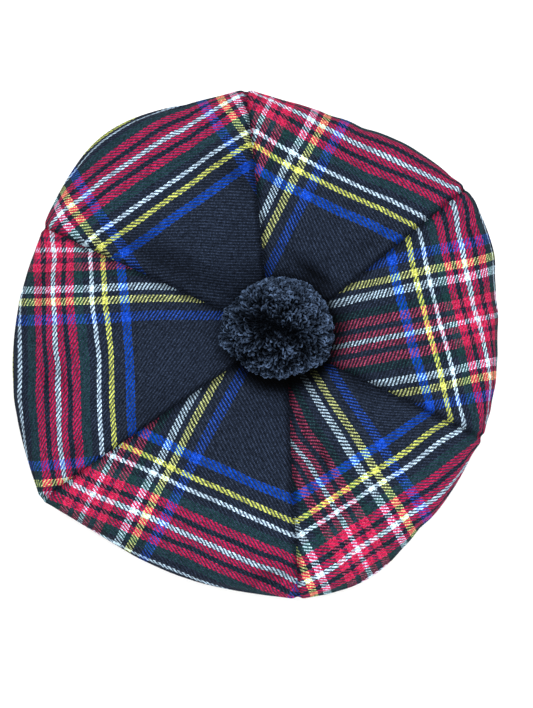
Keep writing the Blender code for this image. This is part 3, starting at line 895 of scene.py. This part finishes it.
CROSSING_SHARE = 0.12  # how far a thread takes on the dye of the one that it crosses
TWILL_REPEAT = 4.0  # threads
ROUND_FLOAT = 2.25  # threads of each repeat that a thread round the rim floats over
FLOAT_ARCH = (0.4, 1.0)  # height of a float at its ends and at its middle
FLOAT_STEPS = (7.31, 3.77)  # odd steps in a float's number, from float to float and from thread to thread
THREAD_JITTER = 1.6  # threads by which slow noise moves the weave
THREAD_DRIFT = dict(Scale=0.35, Detail=3.0)  # that noise, by mm of cloth
PLIES = 2.0
PLY_TWIST = 0.8  # plies met in each mm along an end
FLUFF_SHARE = 0.5  # how much fluff counts in an end's lightness, and how much its own shade
SHADE_SHARE = 0.6

# Noises over an object, by metres.
CLOTH_FLUFF = dict(Scale=1100.0, Detail=3.0)
CLOTH_PATCH = dict(Scale=45.0, Detail=3.0)
YARN_FLUFF = dict(Scale=1800.0, Detail=2.0)
PLAIN_FLUFF = dict(Scale=1200.0, Detail=2.0)

# How light the cloth or yarn is where something is 0 and where it is 1.
# The weave's relief gives painted shade in the gaps between threads.
RELIEF_PAINTED_SHADE = (0.18, 1.28)
FLUFF_LIGHT = (0.25, 1.75)
PATCH_LIGHT = (0.85, 1.15)
FLOAT_LIGHT = (0.55, 1.45)
PLAIN_LIGHT = (0.6, 1.4)
# The plies give painted shade in the grooves between them.
PLY_PAINTED_SHADE = (0.65, 1.0)

ROUGHNESS = 0.9
WOOL_GLOSS = 0.035
YARN_GLOSS = 0.02
WEAVE_RELIEF = 0.16 * MM
PLY_RELIEF = 0.15 * MM
FLUFF_RELIEF = 0.1 * MM


def node(tree, kind, inputs=None, **settings):
    """A node with its settings and its inputs, each a value or another node's output."""
    made = tree.nodes.new(kind)
    for name, value in settings.items():
        setattr(made, name, value)
    for socket, value in (inputs or {}).items():
        if isinstance(value, bpy.types.NodeSocket):
            tree.links.new(value, made.inputs[socket])
        else:
            made.inputs[socket].default_value = value
    return made


def maths(tree, operation, *values):
    return node(tree, "ShaderNodeMath", dict(enumerate(values)), operation=operation).outputs[0]


def span(tree, share, ends):
    """A number from one end to the other, by a share from 0 to 1."""
    return maths(tree, "MULTIPLY_ADD", share, ends[1] - ends[0], ends[0])


def mix_numbers(tree, share, first, second):
    return node(tree, "ShaderNodeMix", {0: share, 2: first, 3: second}, data_type="FLOAT").outputs[0]


def mix(tree, share, first, second, blend="MIX"):
    """A colour between two, or one multiplied into the other by the share."""
    made = node(tree, "ShaderNodeMix", {0: share, 6: first, 7: second}, data_type="RGBA", blend_type=blend)
    return made.outputs[2]


def fluff(tree, kind):
    """A noise over the object, from 0 to 1."""
    place = node(tree, "ShaderNodeTexCoord").outputs["Object"]
    return node(tree, "ShaderNodeTexNoise", {"Vector": place, **kind}).outputs[0]


def attribute(tree, name):
    return node(tree, "ShaderNodeAttribute", attribute_name=name).outputs["Fac"]


def map_place(tree, name):
    """The two numbers of a place on the mesh's own map."""
    uv = node(tree, "ShaderNodeUVMap", uv_map=name).outputs[0]
    return node(tree, "ShaderNodeSeparateXYZ", {0: uv}).outputs[:2]


def new_group(name, inputs, outputs, kind="NodeSocketFloat"):
    """An empty node group with number inputs and outputs of one kind, and its input sockets."""
    tree = bpy.data.node_groups.new(name, "ShaderNodeTree")
    for label in inputs:
        tree.interface.new_socket(label, in_out="INPUT", socket_type="NodeSocketFloat")
    for label in outputs:
        tree.interface.new_socket(label, in_out="OUTPUT", socket_type=kind)
    start = tree.nodes.new("NodeGroupInput")
    return tree, [start.outputs[label] for label in inputs]


def end_group(tree, **outputs):
    node(tree, "NodeGroupOutput", {label.replace("_", " "): socket for label, socket in outputs.items()})
    return tree


def twill_group():
    """A 2/2 twill from a place on the cloth in mm.

    The thread round the rim lies on top where (thread across + thread along) mod 4 is under its float.
    Height is a thread's rounded section times the arch of its float, from 0 in the gaps to 1 on top.
    Float is each float's own number, and kind sets those of the two ways apart.
    """
    outputs = ("Over", "Height", "Float", "Thread across", "Thread along")
    tree, (across, along) = new_group("Twill", ("Across", "Along"), outputs)
    calc = partial(maths, tree)
    cloth = node(tree, "ShaderNodeCombineXYZ", {0: across, 1: along}).outputs[0]
    drift = node(tree, "ShaderNodeTexNoise", {"Vector": cloth, **THREAD_DRIFT}).outputs["Color"]
    off = node(tree, "ShaderNodeSeparateXYZ", {0: drift}).outputs
    u = calc("DIVIDE", across, THREAD_ACROSS)
    u = calc("MULTIPLY_ADD", calc("SUBTRACT", off[0], 0.5), THREAD_JITTER, u)
    v = calc("DIVIDE", along, THREAD_ALONG)
    v = calc("MULTIPLY_ADD", calc("SUBTRACT", off[1], 0.5), THREAD_JITTER, v)
    i, j = calc("FLOOR", u), calc("FLOOR", v)

    def thread_floats(way, thread, position, kind):
        """How far along its float a thread is, as a phase, and the float's height and number."""
        phase = calc("FLOORED_MODULO", way, TWILL_REPEAT)
        arch = calc("ABSOLUTE", calc("SINE", calc("MULTIPLY", phase, math.pi / 2)))
        side = calc("SINE", calc("MULTIPLY", calc("FRACT", position), math.pi))
        rounded = calc("SQRT", calc("ABSOLUTE", side))
        height = calc("MULTIPLY", rounded, span(tree, arch, FLOAT_ARCH))
        counted = calc("FLOOR", calc("DIVIDE", way, TWILL_REPEAT))
        number = calc("MULTIPLY_ADD", counted, FLOAT_STEPS[0], calc("MULTIPLY", thread, FLOAT_STEPS[1]))
        return phase, height, calc("ADD", number, kind)

    _, down_height, down_number = thread_floats(calc("ADD", v, i), i, u, 0.0)
    round_phase, round_height, round_number = thread_floats(calc("ADD", u, j), j, v, 0.5)
    over = calc("LESS_THAN", round_phase, ROUND_FLOAT)
    height = mix_numbers(tree, over, down_height, round_height)
    number = mix_numbers(tree, over, down_number, round_number)
    return end_group(tree, Over=over, Height=height, Float=number, Thread_across=i, Thread_along=j)


def sett_group(name, counts, dyes):
    """Colour of a thread, by its number: the sett as a ramp of steps, read out and back."""
    tree, (thread,) = new_group(name, ("Thread",), ("Colour",), "NodeSocketColor")
    half = float(sum(counts))
    place = maths(tree, "PINGPONG", maths(tree, "ADD", thread, 0.5), half)
    ramp = node(tree, "ShaderNodeValToRGB", {0: maths(tree, "DIVIDE", place, half)})
    ramp.color_ramp.interpolation = "CONSTANT"
    stops = ramp.color_ramp.elements
    stops.remove(stops[1])
    start = 0
    for stripe, count in zip(SETT, counts):
        stop = stops[0] if start == 0 else stops.new(start / half)
        stop.position = start / half
        stop.color = (*dyes[stripe.colour], 1.0)
        start += count
    return end_group(tree, Colour=ramp.outputs[0])


def wool_group():
    """A number near 1 that varies as wool does: by fluff, by soft patches and by each float's own shade."""
    tree, (number,) = new_group("Wool", ("Float",), ("Factor",))
    strand = node(tree, "ShaderNodeTexWhiteNoise", {"W": number}, noise_dimensions="1D").outputs[0]
    total = span(tree, fluff(tree, CLOTH_FLUFF), FLUFF_LIGHT)
    total = maths(tree, "MULTIPLY", total, span(tree, fluff(tree, CLOTH_PATCH), PATCH_LIGHT))
    return end_group(tree, Factor=maths(tree, "MULTIPLY", total, span(tree, strand, FLOAT_LIGHT)))


def new_material(name):
    made = bpy.data.materials.new(name)
    made.use_nodes = True
    made.node_tree.nodes.clear()
    return made, made.node_tree


def finish_material(tree, colour, height, depth, gloss=WOOL_GLOSS):
    """Ends a material: its colour and relief go to one shader with fixed values."""
    bump = node(tree, "ShaderNodeBump", {"Height": height, "Distance": depth, "Strength": 1.0}).outputs[0]
    shader = node(tree, "ShaderNodeBsdfPrincipled", {"Base Color": colour, "Normal": bump})
    shader.inputs["Roughness"].default_value = ROUGHNESS
    shader.inputs["Specular IOR Level"].default_value = gloss
    node(tree, "ShaderNodeOutputMaterial", {"Surface": shader.outputs[0]})


def use_group(tree, group, inputs):
    made = tree.nodes.new("ShaderNodeGroup")
    made.node_tree = group
    for label, value in inputs.items():
        tree.links.new(value, made.inputs[label])
    return made.outputs


def woven(name, twill, wool):
    """A new material, its tree and its weave, and how light the wool is, with painted shade in the gaps
    between threads.
    """
    made, tree = new_material(name)
    across, along = map_place(tree, "Cloth")
    weave = use_group(tree, twill, {"Across": across, "Along": along})
    factor = use_group(tree, wool, {"Float": weave["Float"]})["Factor"]
    factor = maths(tree, "MULTIPLY", factor, span(tree, weave["Height"], RELIEF_PAINTED_SHADE))
    return made, tree, weave, factor


def tartan_material(twill, wool):
    """Each thread keeps its own dye, and the twill decides which of the two threads shows.

    The dye seen is the top thread's to the power of 1 less the crossing share, times the lower thread's
    to the power of that share, as light that passes the loose top thread is dyed by the one below.
    """
    made, tree, weave, factor = woven("tartan_cloth", twill, wool)
    along_sett = sett_group("Sett along", [stripe.threads_along for stripe in SETT], ROUND_DYES)
    # The down threads' dyes carry painted shade and painted sheen.
    across_sett = sett_group("Sett across", [stripe.threads_across for stripe in SETT], DOWN_DYES_PAINTED_SHADE_AND_SHEEN)
    round_dye = use_group(tree, along_sett, {"Thread": weave["Thread along"]})["Colour"]
    down_dye = use_group(tree, across_sett, {"Thread": weave["Thread across"]})["Colour"]
    top = mix(tree, weave["Over"], down_dye, round_dye)
    below = mix(tree, weave["Over"], round_dye, down_dye)
    top = node(tree, "ShaderNodeGamma", {0: top, 1: 1.0 - CROSSING_SHARE}).outputs[0]
    below = node(tree, "ShaderNodeGamma", {0: below, 1: CROSSING_SHARE}).outputs[0]
    dye = mix(tree, 1.0, top, below, "MULTIPLY")
    # Painted shade: the hollow value, holding the painted shadow round the toorie and the painted shade of
    # the seams and creases, darkens the colour.
    painted_shade_factor = maths(tree, "MULTIPLY_ADD", attribute(tree, "hollow"), -PAINTED_SHADE_STRENGTH, 1.0)
    factor = maths(tree, "MULTIPLY", factor, painted_shade_factor)
    finish_material(tree, mix(tree, 1.0, dye, factor, "MULTIPLY"), weave["Height"], WEAVE_RELIEF)
    return made


def band_material(twill, wool):
    """Plain black twill of the same wool."""
    made, tree, weave, factor = woven("band_cloth", twill, wool)
    # The band's black mixes in the down threads' copy, which carries painted shade and painted sheen.
    dye = mix(tree, weave["Over"], (*DOWN_DYES_PAINTED_SHADE_AND_SHEEN["black"], 1.0), (*ROUND_DYES["black"], 1.0))
    finish_material(tree, mix(tree, 1.0, dye, factor, "MULTIPLY"), weave["Height"], WEAVE_RELIEF)
    return made


def yarn_material():
    """Blue-black wool yarn: each end has its own shade, and its plies twist round it."""
    made, tree = new_material("yarn")
    calc = partial(maths, tree)
    around, length = map_place(tree, "Yarn")
    twist = calc("MULTIPLY_ADD", length, PLY_TWIST, calc("MULTIPLY", around, PLIES))
    ply = calc("ABSOLUTE", calc("SINE", calc("MULTIPLY", twist, math.pi)))
    own = calc("MULTIPLY", attribute(tree, "shade"), SHADE_SHARE)
    share = calc("MULTIPLY_ADD", fluff(tree, YARN_FLUFF), FLUFF_SHARE, own)
    # Each end's painted light and shade scales the share of its lighter colour.
    colour = mix(tree, calc("MULTIPLY", share, attribute(tree, "painted_shading")), YARN_DARK, YARN_LIGHT)
    # Painted shade in the grooves between the plies.
    colour = mix(tree, 1.0, colour, span(tree, ply, PLY_PAINTED_SHADE), "MULTIPLY")
    finish_material(tree, colour, ply, PLY_RELIEF, YARN_GLOSS)
    return made


def plain_material(name, colour):
    """One colour, mottled by fluff."""
    made, tree = new_material(name)
    mottle = fluff(tree, PLAIN_FLUFF)
    shaded = mix(tree, 1.0, (*colour, 1.0), span(tree, mottle, PLAIN_LIGHT), "MULTIPLY")
    finish_material(tree, shaded, mottle, FLUFF_RELIEF)
    return made


# ---------------- camera, light and floor

CAMERA_HEIGHT = 1.5  # above the middle of the crown's side
VIEW_WIDTH = 0.2985  # what the picture spans at that height
VIEW_MIDDLE = (6.3 * MM, -5.4 * MM, 25.0 * MM)
SENSOR = 36.0
CLIP_START = 0.01
LAMP_SIZE = 1.3
LAMPS = (("key", (-0.15, 0.6, 1.3), 33.5), ("fill", (0.4, -0.8, 0.9), 19.0))  # name, place and watts
SKY_LIGHT = 0.38
WHITE = (1.0, 1.0, 1.0, 1.0)
FLOOR_COLOUR = (0.9, 0.9, 0.9, 1.0)
FLOOR_ROUGHNESS = 0.95
FLOOR_HALF = 20.0
FLOOR_DROP = 0.3 * MM


def studio():
    """A camera straight above, two broad lights, a white sky and a white floor.

    The stronger light comes from the top of the picture and the weaker one from its foot.
    """
    scene = bpy.context.scene
    lens = bpy.data.cameras.new("camera")
    lens.sensor_fit = "HORIZONTAL"
    lens.sensor_width = SENSOR
    lens.lens = SENSOR * CAMERA_HEIGHT / VIEW_WIDTH
    lens.clip_start = CLIP_START
    camera = bpy.data.objects.new("camera", lens)
    camera.location = Vector(VIEW_MIDDLE) + Vector((0.0, 0.0, CAMERA_HEIGHT))
    scene.collection.objects.link(camera)
    scene.camera = camera

    for name, place, energy in LAMPS:
        glow = bpy.data.lights.new(name, "AREA")
        glow.energy = energy
        glow.size = LAMP_SIZE
        lamp = bpy.data.objects.new(name, glow)
        lamp.location = place
        lamp.rotation_euler = Vector(place).to_track_quat("Z", "Y").to_euler()
        scene.collection.objects.link(lamp)

    world = bpy.data.worlds.new("studio")
    world.use_nodes = True
    world.node_tree.nodes["Background"].inputs[0].default_value = WHITE
    world.node_tree.nodes["Background"].inputs[1].default_value = SKY_LIGHT
    scene.world = world
    scene.view_settings.view_transform = "Standard"

    paper, tree = new_material("floor")
    shader = node(tree, "ShaderNodeBsdfPrincipled")
    shader.inputs["Base Color"].default_value = FLOOR_COLOUR
    shader.inputs["Roughness"].default_value = FLOOR_ROUGHNESS
    node(tree, "ShaderNodeOutputMaterial", {"Surface": shader.outputs[0]})
    side = np.array([-FLOOR_HALF, FLOOR_HALF])
    corners = np.stack(np.meshgrid(side, side, indexing="ij"), axis=-1)
    points = np.concatenate([corners, np.full((2, 2, 1), -FLOOR_DROP)], axis=-1)
    mesh_object("floor", points, grid_faces(2, 2).tolist(), paper)


def main():
    twill, wool = twill_group(), wool_group()
    band_finish = band_material(twill, wool)
    gores(tartan_material(twill, wool))
    headband(band_finish, plain_material("band_thread", STITCH_COLOUR))
    yarn_ends(yarn_material())
    yarn_core(plain_material("yarn_core", CORE_PAINTED_SHADE_COLOUR))
    studio()


main()
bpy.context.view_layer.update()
